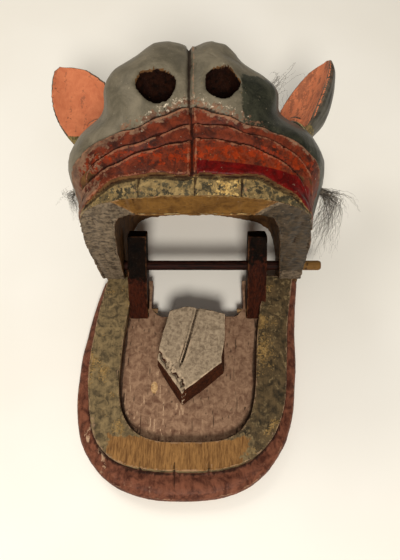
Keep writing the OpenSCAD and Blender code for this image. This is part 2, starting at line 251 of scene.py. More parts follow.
@dataclass
class Skin:
    """An even skin of small faces over a piece, carved by moving its points.

    Attributes:
        name: The piece's name.
        node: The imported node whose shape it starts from.
        bench: The axes that it is carved in.
        grain: The size of its faces, in millimetres.
        soften: How many passes round off its edges first.
    """

    name: str
    node: str
    bench: Bench
    grain: float = 1.4
    soften: int = 6
    obj: bpy.types.Object = field(init=False)
    points: np.ndarray = field(init=False)
    edges: np.ndarray = field(init=False)

    def __post_init__(self) -> None:
        """Copies the node's shape and lays the even skin over it."""
        rough = placed(self.name + "_rough", frame["nodes"][self.node].data.copy())
        voxels = rough.modifiers.new("even_skin", "REMESH")
        voxels.mode = "VOXEL"
        voxels.voxel_size = self.grain * MM
        voxels.use_smooth_shade = True
        seen = rough.evaluated_get(bpy.context.evaluated_depsgraph_get())
        mesh = bpy.data.meshes.new_from_object(seen)
        bpy.data.objects.remove(rough)
        mesh.name = self.name
        mesh.materials.clear()
        self.obj = placed(self.name, mesh)
        co = np.empty(len(mesh.vertices) * 3)
        mesh.vertices.foreach_get("co", co)
        self.points = self.bench.from_part(co.reshape(-1, 3))
        pairs = np.empty(len(mesh.edges) * 2, np.int64)
        mesh.edges.foreach_get("vertices", pairs)
        self.edges = pairs.reshape(-1, 2)
        self.relax(self.soften)

    def neighbour_mean(self, values: np.ndarray) -> np.ndarray:
        """Averages each point's neighbours.

        Args:
            values: One value or vector for each point.

        Returns:
            The averages, in the same form.
        """
        a, b = self.edges[:, 0], self.edges[:, 1]
        size = len(self.points)
        count = np.bincount(a, minlength=size) + np.bincount(b, minlength=size)
        count = np.maximum(count, 1)
        if values.ndim == 1:
            return (np.bincount(a, values[b], size) + np.bincount(b, values[a], size)) / count
        return np.stack([self.neighbour_mean(values[:, k]) for k in range(3)], axis=-1)

    def relax(self, passes: int) -> None:
        """Rounds the skin without shrinking it.

        Args:
            passes: How many times to do it.
        """
        for _ in range(passes):
            for share in (0.5, -0.52):
                self.points = self.points + share * (self.neighbour_mean(self.points) - self.points)

    def normals(self) -> np.ndarray:
        """The outward direction at each point, on the bench."""
        self.write()
        flat = np.empty(len(self.points) * 3)
        self.obj.data.vertices.foreach_get("normal", flat)
        return self.bench.turned(flat.reshape(-1, 3), -1.0)

    def push(self, depth: np.ndarray, along: np.ndarray) -> None:
        """Moves the points.

        Args:
            depth: How far, in millimetres.
            along: The direction at each point.
        """
        self.points = self.points + depth[:, None] * along

    def proudness(self, reach: int = 10) -> np.ndarray:
        """How far each point stands out of the skin round it.

        Args:
            reach: How many passes of smoothing the skin is compared with.

        Returns:
            Millimetres, above 0 on ridges and below 0 in grooves.
        """
        smooth = self.points
        for _ in range(reach):
            smooth = self.neighbour_mean(smooth)
        return np.einsum("ij,ij->i", self.points - smooth, self.normals())

    def wear(self, reach: int = 4, shift: float = 0.0, rubbed: Mask | float = 1.0) -> None:
        """Finds the ridges that get rubbed and the grooves that stay dirty, and stores both.

        Args:
            reach: How many passes of smoothing the skin is compared with.
            shift: How much of the grooves' dirt is left out.
            rubbed: How much each ridge is rubbed.
        """
        proud = self.proudness(reach)
        usual = np.percentile(np.abs(proud), 93) + 1e-6
        self.paint("ridge", proud / usual * rubbed)
        self.paint("groove", -proud / usual - shift)

    def chip(self, noise: Noise, depth: float, size: float, sharp: tuple[float, float],
             least: float, where: Mask, octaves: int = 3) -> None:
        """Knocks small chips off the sharp edges.

        Args:
            noise: The hills that the chips follow.
            depth: How deep they are, in millimetres.
            size: How far apart they are.
            sharp: How far an edge stands out where chips start and where they are full.
            least: How high the hills are where chips start.
            where: How much is knocked off at each point.
            octaves: How ragged the chips are.
        """
        edge = smoothstep(*sharp, self.proudness(6))
        bites = smoothstep(least, 0.6, noise.at(self.points, size, octaves))
        self.push(-depth * edge * bites * where, self.normals())

    def paint(self, name: str, amount: Mask) -> None:
        """Stores how much of a coat lies on each point.

        Args:
            name: The coat's name.
            amount: 0 for none to 1 for all of it.
        """
        layer = self.obj.data.attributes.new(name, "FLOAT", "POINT")
        layer.data.foreach_set("value", np.clip(amount, 0.0, 1.0).astype(np.float32))

    def write(self) -> None:
        """Puts the carved points into the mesh."""
        flat = self.bench.to_part(self.points).astype(np.float32).ravel()
        self.obj.data.vertices.foreach_set("co", flat)
        self.obj.data.update()

    def finish(self, material: bpy.types.Material, body: str, slot: str) -> None:
        """Writes the skin, dresses it and hangs it on its body.

        Args:
            material: What it is painted with.
            body: The body that it rides on.
            slot: The record's material slot; not used.
        """
        self.write()
        self.obj.data.materials.append(material)
        for polygon in self.obj.data.polygons:
            polygon.use_smooth = True
        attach(self.obj, body)
        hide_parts(self.node)
        LOG.info("%s: %d points", self.name, len(self.points))


# ---------------------------------------------------------------------------- finishes


class Nodes:
    """Short ways to write a material's nodes."""

    def __init__(self, name: str) -> None:
        """Starts an empty material.

        Args:
            name: The material's name.
        """
        self.material = bpy.data.materials.new(name)
        self.material.use_nodes = True
        self.tree = self.material.node_tree
        self.tree.nodes.clear()
        self.shader = self.make("ShaderNodeBsdfPrincipled")
        output = self.make("ShaderNodeOutputMaterial")
        self.join(self.shader.outputs[0], output.inputs["Surface"])
        self.place = self.make("ShaderNodeTexCoord").outputs["Object"]

    def make(self, kind: str, **settings: object) -> bpy.types.Node:
        """Adds a node.

        Args:
            kind: The node's type.
            settings: Its properties.

        Returns:
            The node.
        """
        node = self.tree.nodes.new(kind)
        for key, value in settings.items():
            setattr(node, key, value)
        return node

    def join(self, source: object, target: bpy.types.NodeSocket) -> None:
        """Feeds a socket from another socket or a constant.

        Args:
            source: A socket, number or colour.
            target: The socket to feed.
        """
        if isinstance(source, bpy.types.NodeSocket):
            self.tree.links.new(source, target)
        elif isinstance(source, tuple):
            target.default_value = (*source, 1.0) if len(target.default_value) == 4 else source
        else:
            target.default_value = source

    def attribute(self, name: str) -> bpy.types.NodeSocket:
        """Reads a coat's amount at each point.

        Args:
            name: The coat's name.

        Returns:
            The amount.
        """
        return self.make("ShaderNodeAttribute", attribute_name=name).outputs["Fac"]

    def mapped(self, how: str, amount: Sequence[float]) -> bpy.types.NodeSocket:
        """The object's place, moved or squeezed along its axes.

        Args:
            how: "Location" to move it, or "Scale" to squeeze it.
            amount: How much, along each axis.

        Returns:
            The new place.
        """
        node = self.make("ShaderNodeMapping", vector_type="POINT")
        self.join(self.place, node.inputs["Vector"])
        node.inputs[how].default_value = tuple(amount)
        return node.outputs[0]

    def noise(self, size_mm: float, detail: float = 4.0, rough: float = 0.55,
              place: bpy.types.NodeSocket | None = None, warp: float = 0.0) -> bpy.types.NodeSocket:
        """A cloudy pattern.

        Args:
            size_mm: How wide its clouds are.
            detail: How many finer layers it has.
            rough: How strong they are.
            place: Where it is read, if not at the object's place.
            warp: How far it is twisted.

        Returns:
            A value round 0.5.
        """
        node = self.make("ShaderNodeTexNoise")
        self.join(place or self.place, node.inputs["Vector"])
        node.inputs["Scale"].default_value = 1.0 / (size_mm * MM)
        node.inputs["Detail"].default_value = detail
        node.inputs["Roughness"].default_value = rough
        node.inputs["Distortion"].default_value = warp
        return node.outputs["Fac"]

    def math(self, how: str, a: object, b: object) -> bpy.types.NodeSocket:
        """Works out one sum.

        Args:
            how: The operation.
            a: The first value or socket.
            b: The second one.

        Returns:
            The answer.
        """
        node = self.make("ShaderNodeMath", operation=how)
        self.join(a, node.inputs[0])
        self.join(b, node.inputs[1])
        return node.outputs[0]

    def ramp(self, value: object, low: float, high: float) -> bpy.types.NodeSocket:
        """Ramps a value to between 0 and 1.

        Args:
            value: The value or socket.
            low: Where it leaves 0.
            high: Where it reaches 1.

        Returns:
            The ramped value.
        """
        node = self.make("ShaderNodeMapRange", interpolation_type="SMOOTHSTEP")
        self.join(value, node.inputs["Value"])
        node.inputs["From Min"].default_value = low
        node.inputs["From Max"].default_value = high
        return node.outputs[0]

    def sway(self, base: object, pattern: object, amount: float) -> bpy.types.NodeSocket:
        """Makes a value rise and fall with a pattern."""
        return self.math("ADD", base, self.math("MULTIPLY", self.math("SUBTRACT", pattern, 0.5), amount))

    def mix(self, share: object, a: object, b: object) -> bpy.types.NodeSocket:
        """Mixes two colours.

        Args:
            share: How much of the second.
            a: The first colour or socket.
            b: The second one.

        Returns:
            The mixed colour.
        """
        node = self.make("ShaderNodeMix", data_type="RGBA")
        self.join(share, node.inputs[0])
        self.join(a, node.inputs[6])
        self.join(b, node.inputs[7])
        return node.outputs[2]

    def blend(self, share: object, a: object, b: object) -> bpy.types.NodeSocket:
        """Mixes two numbers.

        Args:
            share: How much of the second.
            a: The first number or socket.
            b: The second one.

        Returns:
            The mixed number.
        """
        node = self.make("ShaderNodeMix", data_type="FLOAT")
        self.join(share, node.inputs[0])
        self.join(a, node.inputs[2])
        self.join(b, node.inputs[3])
        return node.outputs[0]

    def bump(self, height: object, depth_mm: float, strength: float,
             under: bpy.types.NodeSocket | None = None) -> bpy.types.NodeSocket:
        """Roughens the surface.

        Args:
            height: The pattern's height, from 0 to 1.
            depth_mm: How deep it is.
            strength: How much it shows.
            under: A coarser roughening that it lies on.

        Returns:
            The roughened direction.
        """
        node = self.make("ShaderNodeBump")
        self.join(height, node.inputs["Height"])
        node.inputs["Distance"].default_value = depth_mm * MM
        node.inputs["Strength"].default_value = strength
        if under is not None:
            self.join(under, node.inputs["Normal"])
        return node.outputs[0]


@dataclass(frozen=True)
class Coat:
    """A coat of paint, a patch of bare wood, or a painted shade or highlight, that lies where its mask is
    high.

    Attributes:
        mask: The name of the mask.
        light: Its colour where it is thin or rubbed.
        dark: Its colour where it is thick or dirty.
        roughness: How dull it is.
        flake: How far its edge is broken up.
        speckle: The size of its patches, in millimetres.
        contrast: How sharply the light and dark patches part.
        thickness: How far it stands above what is under it, in millimetres.
    """

    mask: str
    light: Colour
    dark: Colour
    roughness: float = 0.5
    flake: float = 0.5
    speckle: float = 9.0
    contrast: float = 0.12
    thickness: float = 0.15


@dataclass(frozen=True)
class OldPaint:
    """Old oil paint over carved wood, rubbed off on ridges and dirty in grooves; some coats are painted
    shade or highlight.

    Attributes:
        name: The finish's name.
        wood_light: The wood's pale grain.
        wood_dark: The wood's dark grain.
        coats: The coats from the lowest to the top one.
        worn: The colour of rubbed ridges.
        wear: How much of the ridges is rubbed.
        dirt: How much of the grooves is dirty.
        grime: The colour that grooves are dirty with.
        grain: How much the place is squeezed along each axis, so that the grain runs lengthwise.
        wood_roughness: How dull the bare wood is.
        pitting: How rough the whole surface is.
        shine: How strongly it mirrors the light.
    """

    name: str
    wood_light: Colour
    wood_dark: Colour
    coats: tuple[Coat, ...]
    worn: Colour
    wear: float = 0.5
    dirt: float = 0.85
    grime: Colour = (0.012, 0.008, 0.006)
    grain: tuple[float, float, float] = (1.0, 0.12, 1.0)
    wood_roughness: float = 0.62
    pitting: float = 0.5
    shine: float = 0.1

    def material(self) -> bpy.types.Material:
        """Builds the finish.

        Returns:
            The material.
        """
        n = Nodes(self.name)
        along = n.mapped("Scale", self.grain)
        streaks = n.noise(1.6, 6.0, 0.62, along, 0.4)
        bands = n.noise(9.0, 3.0, 0.5, along, 0.8)
        pores = n.noise(0.45, 2.0, 0.6, along)
        figure = n.blend(0.35, streaks, bands)
        colour = n.mix(n.ramp(figure, 0.36, 0.62), self.wood_dark, self.wood_light)
        colour = n.mix(n.math("MULTIPLY", n.ramp(pores, 0.56, 0.68), 0.45), colour, self.wood_dark)
        rough: object = self.wood_roughness
        height: object = n.math("MULTIPLY", figure, 0.35)
        for number, coat in enumerate(self.coats):
            colour, rough, height = self._lay(n, coat, number, colour, rough, height, streaks)
        fine = n.noise(1.1, 5.0, 0.65)
        patch = n.noise(6.0, 4.0, 0.6)
        rub = n.sway(n.sway(n.attribute("ridge"), fine, 1.6), patch, 2.2)
        rub = n.math("MULTIPLY", n.ramp(rub, 0.70, 1.15), self.wear)
        colour = n.mix(rub, colour, self.worn)
        dirt = n.ramp(n.sway(n.attribute("groove"), patch, 0.8), 0.25, 1.05)
        colour = n.mix(n.math("MULTIPLY", dirt, self.dirt), colour, self.grime)
        dust = n.ramp(n.noise(0.7, 3.0, 0.7), 0.60, 0.74)
        colour = n.mix(n.math("MULTIPLY", dust, 0.10), colour, (0.55, 0.47, 0.38))
        n.join(colour, n.shader.inputs["Base Color"])
        n.join(n.blend(dirt, rough, 0.85), n.shader.inputs["Roughness"])
        n.shader.inputs["Specular IOR Level"].default_value = self.shine
        lumps = n.bump(n.noise(3.2, 4.0, 0.55), 0.5, 0.35 * self.pitting)
        lumps = n.bump(height, 0.45, 0.75, lumps)
        lumps = n.bump(fine, 0.22, 0.5 * self.pitting, lumps)
        n.join(n.bump(pores, 0.08, 0.4, lumps), n.shader.inputs["Normal"])
        return n.material

    def _lay(self, n: Nodes, coat: Coat, number: int, colour: object, rough: object,
             height: object, streaks: bpy.types.NodeSocket) -> tuple[object, object, object]:
        """Lays one coat over what is there.

        Args:
            n: The material's nodes.
            coat: The coat.
            number: Its place from the bottom.
            colour: The colour so far.
            rough: The roughness so far.
            height: The height so far.
            streaks: The wood's grain, which shows where a coat is thin.

        Returns:
            The colour, roughness and height with the coat on.
        """
        place = n.mapped("Location", (0.31 * number, 0.17 * number, 0.53 * number))
        ragged = n.noise(coat.speckle * 0.55, 6.0, 0.68, place)
        amount = n.ramp(n.sway(n.attribute(coat.mask), ragged, 2.0 * coat.flake), 0.44, 0.56)
        clouds = n.noise(coat.speckle, 6.0, 0.66, place, 0.6)
        clouds = n.blend(0.2, clouds, streaks)
        own = n.mix(n.ramp(clouds, 0.5 - coat.contrast, 0.5 + coat.contrast), coat.dark, coat.light)
        colour = n.mix(amount, colour, own)
        gloss = n.sway(coat.roughness, clouds, 0.35)
        rough = n.blend(amount, rough, gloss)
        height = n.math("ADD", height, n.math("MULTIPLY", amount, coat.thickness))
        return colour, rough, height


@dataclass(frozen=True)
class Whittled:
    """Bare whittled wood with the grain along x.

    Attributes:
        name: The finish's name.
        light: The pale grain.
        dark: The dark grain.
        end: The colour of a rubbed end, laid where the end mask is high.
        roughness: How dull it is.
    """

    name: str
    light: Colour
    dark: Colour
    end: Colour
    roughness: float = 0.45

    def material(self) -> bpy.types.Material:
        """Builds the finish.

        Returns:
            The material.
        """
        n = Nodes(self.name)
        along = n.mapped("Scale", (0.08, 1.0, 1.0))
        streaks = n.noise(1.2, 6.0, 0.6, along, 0.5)
        colour = n.mix(n.ramp(streaks, 0.38, 0.62), self.dark, self.light)
        tip = n.sway(n.attribute("end"), streaks, 0.8)
        colour = n.mix(n.ramp(tip, 0.4, 0.6), colour, self.end)
        colour = n.mix(n.ramp(n.noise(5.0, 5.0, 0.6), 0.55, 0.7), colour, self.dark)
        n.join(colour, n.shader.inputs["Base Color"])
        n.join(n.blend(streaks, self.roughness - 0.1, self.roughness + 0.15), n.shader.inputs["Roughness"])
        n.shader.inputs["Specular IOR Level"].default_value = 0.1
        rough = n.bump(n.noise(2.5, 3.0, 0.5), 0.3, 0.3)
        n.join(n.bump(streaks, 0.2, 0.6, rough), n.shader.inputs["Normal"])
        return n.material


@dataclass(frozen=True)
class Hair:
    """Coarse animal hair.

    Attributes:
        name: The finish's name.
        dark: Its dark strands.
        pale: Its greyed strands.
    """

    name: str
    dark: Colour
    pale: Colour

    def material(self) -> bpy.types.Material:
        """Builds the finish.

        Returns:
            The material.
        """
        n = Nodes(self.name)
        strands = n.noise(3.0, 3.0, 0.6)
        along = n.noise(0.9, 2.0, 0.5)
        shade = n.blend(0.3, strands, along)
        n.join(n.mix(n.ramp(shade, 0.48, 0.64), self.dark, self.pale), n.shader.inputs["Base Color"])
        n.join(n.blend(along, 0.35, 0.6), n.shader.inputs["Roughness"])
        n.shader.inputs["Anisotropic"].default_value = 0.4
        return n.material


HEAD_PAINT = OldPaint(
    name="head_paint",
    wood_light=tone(141, 104, 60), wood_dark=tone(94, 61, 26),
    coats=(
        Coat("inside", tone(112, 78, 44), tone(44, 26, 14), 0.7, 0.2, 14.0, 0.2, 0.0),
        Coat("bar", tone(122, 86, 38), tone(78, 50, 18), 0.45, 0.2, 12.0, 0.2, 0.0),
        Coat("bite", tone(128, 112, 92), tone(58, 48, 38), 0.6, 0.25, 5.0, 0.14, 0.05),
        # Painted shadow of the snout on the right cheek's bite face.
        Coat("bite_snout_shadow", tone(82, 68, 52), tone(36, 32, 26), 0.5, 0.3, 6.0, 0.14, 0.05),
        Coat("red", tone(112, 46, 24), tone(48, 19, 11), 0.5, 0.3, 10.0, 0.16, 0.15),
        Coat("orange", tone(142, 46, 10), tone(78, 24, 6), 0.45, 0.8, 7.0, 0.16, 0.1),
        Coat("deep_red", tone(98, 4, 2), tone(58, 2, 1), 0.4, 0.22, 8.0, 0.14, 0.1),
        # The dome's black paint, its colours lightened to its lit look: a painted sheen.
        Coat("black", tone(122, 113, 95), tone(86, 80, 66), 0.42, 0.22, 18.0, 0.2, 0.2),
        # The dome's darker paint, laid on the right side as painted shade, and also darker towards the
        # rear and in random patches.
        Coat("green_black_and_shade", tone(58, 58, 46), tone(24, 26, 19), 0.36, 0.5, 16.0, 0.14, 0.1),
        Coat("dusty", tone(130, 98, 76), tone(84, 58, 44), 0.6, 0.8, 8.0, 0.14, 0.05),
        # Pale flecks below the nostrils: worn dust with a painted sheen of the glossy ridge.
        Coat("fleck_and_sheen", tone(206, 192, 170), tone(140, 126, 106), 0.35, 1.3, 4.5, 0.12, 0.08),
        Coat("gold", tone(152, 128, 84), tone(84, 70, 46), 0.45, 0.35, 7.0, 0.16, 0.12),
        Coat("gum_dark", tone(84, 76, 56), tone(44, 40, 30), 0.45, 1.1, 8.0, 0.14, 0.05),
        Coat("leaf", tone(204, 172, 108), tone(140, 108, 58), 0.4, 1.2, 4.5, 0.12, 0.05),
        # Near-black painted shade inside the nostril bores.
        Coat("nostril", tone(46, 22, 12), tone(8, 5, 4), 0.6, 0.3, 5.0, 0.2, 0.0),
    ),
    worn=tone(168, 118, 88), wear=0.44, grime=tone(26, 8, 4), grain=(1.0, 1.0, 0.12), pitting=0.7,
)
JAW_PAINT = OldPaint(
    name="jaw_paint",
    wood_light=tone(148, 108, 62), wood_dark=tone(96, 64, 34),
    coats=(
        Coat("floor", tone(160, 128, 102), tone(98, 68, 52), 0.8, 0.3, 6.0, 0.2, 0.05),
        Coat("red", tone(122, 74, 54), tone(62, 30, 20), 0.5, 0.35, 9.0, 0.16, 0.15),
        Coat("band", tone(134, 114, 80), tone(66, 56, 40), 0.6, 0.8, 7.0, 0.16, 0.15),
        Coat("dark_band", tone(100, 82, 56), tone(44, 38, 28), 0.6, 0.8, 9.0, 0.16, 0.1),
        # This coat is real dust on the mouth floor, and a painted highlight on the top of the left outer
        # lip.
        Coat("dust", tone(190, 158, 128), tone(148, 116, 92), 0.85, 0.3, 2.4, 0.14, 0.05),
        Coat("gold", tone(156, 126, 78), tone(104, 82, 48), 0.4, 1.2, 3.0, 0.12, 0.1),
        Coat("scar", tone(206, 172, 126), tone(158, 120, 78), 0.7, 0.3, 3.0, 0.15, 0.0),
    ),
    worn=tone(168, 136, 108), wear=0.5, grime=tone(22, 12, 7), grain=(1.0, 0.14, 1.0), pitting=0.8,
)
EAR_PAINT = OldPaint(
    name="ear_paint",
    wood_light=tone(150, 110, 70), wood_dark=tone(98, 64, 40),
    coats=(
        Coat("back", tone(86, 82, 72), tone(36, 35, 30), 0.36, 0.15, 14.0, 0.16, 0.15),
        Coat("face", tone(212, 130, 90), tone(176, 96, 64), 0.6, 0.1, 14.0, 0.3, 0.1),
        # Scuff streaks on the ears' red faces; the right ear's heavier share is painted shade.
        Coat("scuff_and_shade", tone(176, 108, 76), tone(134, 78, 56), 0.6, 0.7, 5.0, 0.2, 0.05),
        Coat("foot", tone(140, 122, 74), tone(52, 48, 32), 0.5, 0.6, 4.0, 0.14, 0.1),
    ),
    worn=tone(180, 128, 98), wear=0.2, dirt=0.5, grain=(1.0, 0.15, 1.0), pitting=0.45,
)
EYE_PAINT = OldPaint(
    name="eye_paint",
    wood_light=tone(141, 104, 60), wood_dark=tone(94, 61, 26),
    coats=(
        Coat("white", tone(70, 72, 58), tone(38, 40, 32), 0.3, 0.1, 5.0, 0.15, 0.1),
        Coat("ring", tone(200, 182, 120), tone(136, 118, 70), 0.3, 0.5, 3.0, 0.1, 0.1),
        Coat("pupil", tone(28, 26, 24), tone(12, 11, 10), 0.2, 0.06, 5.0, 0.15, 0.1),
    ),
    worn=tone(180, 150, 110), wear=0.35, pitting=0.4,
)
POST_PAINT = OldPaint(
    name="post_paint",
    wood_light=tone(62, 26, 13), wood_dark=tone(30, 11, 6),
    coats=(
        # Painted shadow of the head on the posts' upper parts.
        Coat("head_shadow", tone(24, 14, 8), tone(6, 4, 3), 0.7, 0.4, 9.0, 0.15, 0.1),
    ),
    worn=tone(118, 76, 48), wear=0.45, grain=(1.0, 0.4, 0.12), pitting=0.6, shine=0.03,
)
TONGUE_PAINT = OldPaint(
    name="tongue_paint",
    wood_light=tone(76, 38, 20), wood_dark=tone(34, 14, 8),
    coats=(
        Coat("top", tone(182, 162, 136), tone(112, 96, 78), 0.85, 0.2, 4.0, 0.2, 0.05),
    ),
    worn=tone(206, 180, 150), wear=0.6, grime=tone(44, 30, 20), grain=(1.0, 0.16, 1.0), pitting=1.0,
)
PEG_WOOD = Whittled("peg_wood", tone(150, 118, 80), tone(98, 70, 46), tone(150, 118, 80))
PLUG_WOOD = Whittled("plug_wood", tone(96, 70, 50), tone(52, 36, 26), tone(120, 90, 66))
ROD_WOOD = Whittled("rod_wood", tone(46, 18, 10), tone(20, 8, 5), tone(112, 80, 40), 0.6)
HAIR = Hair("hair", tone(58, 50, 42), tone(146, 134, 116))


# ---------------------------------------------------------------------------- the head


@dataclass
class Head:
    """The carved upper head: nose lobes, nostrils, lips, gum, cheeks and the hollow behind.

    Heights are above the bite face, and angles are from the front round to each side.

    Attributes:
        bite: The bite face's height on the bench.
        middle: The head's middle line at the snout, across the bench.
        turn_y: Where the angles are taken from, along the bench.
        bite_back: How far the bite face is drawn back, so that it clears the jaw.
        groove_depth: How deep the lip's folds are cut.
        gum_top: The height of the upper gum in front.
        nostril_x: How far each nostril is from the middle line, left and right.
        nostril_z: How high each nostril is.
        tooth_lines: Where the gum is scored into teeth, from the middle line.
        flank_rise: Heights up the nose's flanks, square to their slope.
        flank_left: How far the left flank moves out at those heights.
        flank_right: How far the right flank moves out at those heights.
        body: The body that the head rides on.
    """

    bite: float = -15.0
    middle: float = 1.0
    turn_y: float = -100.0
    bite_back: float = 1.7
    groove_depth: float = 3.4
    gum_top: float = 17.0
    nostril_x: tuple[float, float] = (-23.6, 24.6)
    nostril_z: tuple[float, float] = (90.0, 93.0)
    tooth_lines: tuple[float, ...] = (-40.0, 34.0)
    flank_rise: tuple[float, ...] = (48.0, 56.0, 63.0, 75.0, 85.0, 94.0, 105.0, 113.0, 122.0)
    flank_left: tuple[float, ...] = (0.0, -5.0, -6.5, -2.0, 3.5, 5.5, 5.0, -4.0, -5.0)
    flank_right: tuple[float, ...] = (0.0, -10.0, -15.0, -8.0, -3.0, -5.0, -14.0, -17.0, -13.0)
    body: str = "head"
    noise: Noise = field(default_factory=lambda: Noise(11))

    def coordinates(self, p: np.ndarray) -> tuple[np.ndarray, np.ndarray, np.ndarray]:
        """Reads the head's own measures.

        Args:
            p: Points on the bench.

        Returns:
            Each point's distance from the middle line, its angle round the head in degrees, and
            its height above the bite face.
        """
        z = p[:, 2] - self.bite
        x = p[:, 0] - self.middle - 0.03 * (p[:, 1] + 170.0) + 0.035 * np.maximum(z - 20.0, 0.0)
        angle = np.degrees(np.arctan2(x, -(p[:, 1] - self.turn_y)))
        return x, angle, z

    def folds(self, angle: np.ndarray) -> tuple[np.ndarray, ...]:
        """The heights of the three folds cut round the lip.

        Args:
            angle: Angles round the head.

        Returns:
            The folds' heights, from the highest.
        """
        a = np.abs(angle)
        right = smoothstep(-2.0, 2.0, angle)
        left = 1 - right
        first = 75.0 - 0.33 * a - 0.0062 * a * a
        second = 61.5 - 0.28 * a - 0.0085 * a * a
        third = (47.5 - 0.62 * a) * left + (52.0 - 0.2 * a - 0.0125 * a * a) * right
        wobble = 1.1 * np.sin(a * 0.21 + 1.0) + 0.6 * np.sin(a * 0.53)
        first -= (3.4 + 5.4 * bump_at(a, 26.0, 17.0)) * left + 4.4 * smoothstep(50.0, 30.0, a) * right
        second -= (4.5 + 3.8 * smoothstep(0.0, 18.0, a)) * left + 3.8 * smoothstep(12.0, 3.0, a) * right
        third -= 1.3 * left + 4.0 * smoothstep(40.0, 10.0, a) * right
        return first + wobble, second + 0.8 * wobble, third - 0.7 * wobble

    def gum_line(self, angle: np.ndarray) -> np.ndarray:
        """The height where the gum meets the lip.

        Args:
            angle: Angles round the head.

        Returns:
            The height at each angle.
        """
        a = np.abs(angle)
        return self.gum_top - 12.0 * smoothstep(22.0, 50.0, a) + 0.7 * np.sin(angle * 0.35)

    def build(self) -> Skin:
        """Carves and paints the head.

        Returns:
            The finished skin.
        """
        skin = Skin("head_shell_carved", "head_shell", Bench(Pose.HEAD), grain=1.15, soften=4)
        self.shape_lobes(skin)
        self.shape_nostrils(skin)
        skin.relax(1)
        self.carve(skin)
        self.dress(skin)
        skin.finish(HEAD_PAINT.material(), self.body, "head_paint")
        return skin

    def outside(self, skin: Skin, normal: np.ndarray) -> Mask:
        """Where the skin is the head's outside.

        Args:
            skin: The head's skin.
            normal: Its directions.

        Returns:
            1 outside and 0 in the hollow, on the bite face and on the rear rim.
        """
        x, _, z = self.coordinates(skin.points)
        along = np.clip(skin.points[:, 1], -150, 100)
        centre = np.stack([np.zeros(len(x)), along, np.full(len(z), 40.0)], axis=-1)
        away = np.stack([x, skin.points[:, 1], z], axis=-1) - centre
        away /= np.linalg.norm(away, axis=1)[:, None] + 1e-6
        facing = np.einsum("ij,ij->i", away, normal)
        return smoothstep(-0.15, 0.25, facing) * smoothstep(0.85, 0.6, -normal[:, 2])

    def shape_lobes(self, skin: Skin) -> None:
        """Swells the two lobes of the nose and draws in its flanks.

        Args:
            skin: The head's skin.
        """
        normal = skin.normals()
        x, angle, z = self.coordinates(skin.points)
        p = skin.points
        snout = smoothstep(-120.0, -165.0, p[:, 1]) * self.outside(skin, normal)
        lobe = bump_at(np.abs(x), 27.0, 24.0) * bump_at(z, 112.0, 42.0)
        skin.push(4.5 * lobe * snout, normal)
        lip = bump_at(z, 34.0, 20.0) * smoothstep(70.0, 30.0, np.abs(angle))
        skin.push(2.2 * lip * snout, normal)
        self.shape_flanks(skin)

    def shape_flanks(self, skin: Skin) -> None:
        """Widens the nose at its middle, rounds its shoulders and draws it in above the lip.

        Args:
            skin: The head's skin.
        """
        x, _, z = self.coordinates(skin.points)
        rise = z - 0.66 * (skin.points[:, 1] + 205.0)
        left, right = (
            sum(np.interp(rise + step, self.flank_rise, side) for step in (-5.0, -2.5, 0.0, 2.5, 5.0)) / 5
            for side in (self.flank_left, self.flank_right)
        )
        start = 27.0 - 19.0 * smoothstep(106.0, 124.0, rise)
        share = np.clip((np.abs(x) - start) / 26.0, 0.0, 1.0)
        long = smoothstep(-92.0, -128.0, skin.points[:, 1])
        wide = np.where(x > 0, right, left) * np.sign(x) * share * long
        skin.push(wide, np.tile((1.0, 0.0, 0.0), (len(wide), 1)))

    def shape_nostrils(self, skin: Skin) -> None:
        """Makes each nostril's rim uneven, as a gouge leaves it.

        Args:
            skin: The head's skin.
        """
        for number, (across, up) in enumerate(zip(self.nostril_x, self.nostril_z)):
            x, _, z = self.coordinates(skin.points)
            dx, dz = x - across, z - up
            reach = np.hypot(dx, dz)
            turn = np.arctan2(dz, dx)
            uneven = 0.5 * np.sin(3 * turn + number) + 0.4 * np.sin(5 * turn + 2.0 * number)
            nick = 1.8 * bump_at(turn, 2.4, 0.22) + 1.2 * bump_at(turn, -1.55, 0.25)
            near = bump_at(reach, 15.0, 6.0) * smoothstep(-150.0, -170.0, skin.points[:, 1])
            out = np.stack([dx / (reach + 1e-6), 0 * dx, dz / (reach + 1e-6)], axis=-1)
            skin.push((uneven + (1 - number) * nick) * near, out)

    def carve(self, skin: Skin) -> None:
        """Cuts the folds, the middle groove, the teeth, the tool marks and the chips.

        Args:
            skin: The head's skin.
        """
        normal = skin.normals()
        x, angle, z = self.coordinates(skin.points)
        p = skin.points
        outer = self.outside(skin, normal)
        front = smoothstep(-60.0, -110.0, p[:, 1]) * outer
        depth = np.zeros(len(p))
        for number, fold in enumerate(self.folds(angle)):
            fade = smoothstep(92.0 - 6 * number, 50.0, np.abs(angle)) * smoothstep(0.5, 2.5, np.abs(x))
            gap = z - fold
            above = np.exp(-np.maximum(gap, 0.0) / 4.5) * smoothstep(-1.3, 0.0, gap)
            depth -= self.groove_depth * above * fade
            depth += 0.9 * bump_at(gap, -2.4, 1.6) * fade
        gum = self.gum_line(angle)
        under_lip = smoothstep(1.2, -1.2, z - gum) * smoothstep(58.0, 40.0, np.abs(angle))
        depth -= 2.6 * under_lip
        depth += 0.9 * bump_at(z - gum, 2.5, 2.2) * smoothstep(60.0, 45.0, np.abs(angle))
        depth += 1.0 * bump_at(z, gum * 0.5, 5.0) * under_lip
        for line in (*self.tooth_lines, 0.5):
            depth -= 1.5 * bump_at(x, line + 0.05 * z, 0.9) * under_lip
        seam = x + 0.6 * np.sin(z * 0.09)
        depth -= 3.2 * bump_at(seam, -0.4, 1.3) * smoothstep(gum - 2, gum + 3, z)
        depth += 0.7 * bump_at(seam, 2.2, 1.0) * smoothstep(gum - 2, gum + 3, z)
        depth -= 1.8 * bump_at(x, 0.0, 6.0) * smoothstep(70.0, 125.0, z)
        depth *= front
